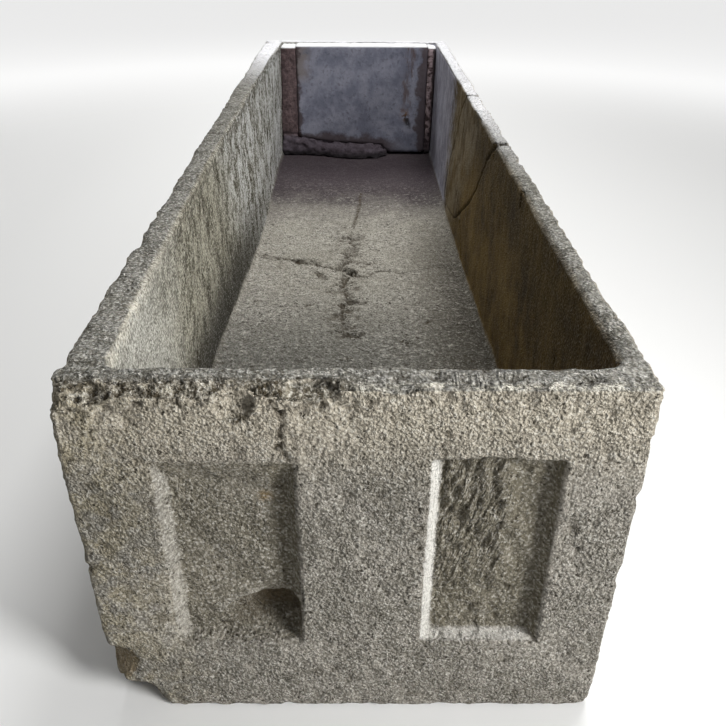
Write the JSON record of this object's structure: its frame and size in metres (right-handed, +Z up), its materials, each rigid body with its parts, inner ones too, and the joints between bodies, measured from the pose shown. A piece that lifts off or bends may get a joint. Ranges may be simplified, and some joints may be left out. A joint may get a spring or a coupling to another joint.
{
  "type": "stone sarcophagus",
  "caption": "Open limestone sarcophagus trough with panelled end wall, rejoined along its breaks, with a mortared slab standing inside the far end.",
  "frame": {"origin": "middle of the underside", "axes": "+Y along the length from the panelled end to the far end, +X to the right seen from the panelled end, +Z up"},
  "size_m": [0.6558, 2.3132, 0.5316],
  "materials": {
    "limestone": "matte",
    "slab_stone": "matte",
    "mortar": "matte"
  },
  "bodies": {
    "root": {"foot_block": "limestone", "head_block": "limestone", "right_wall_fragment": "limestone", "end_slab": "slab_stone", "mortar_left": "mortar", "mortar_right": "mortar", "mortar_bed": "mortar", "slab_back_bedding": "mortar"}
  },
  "joints": []
}
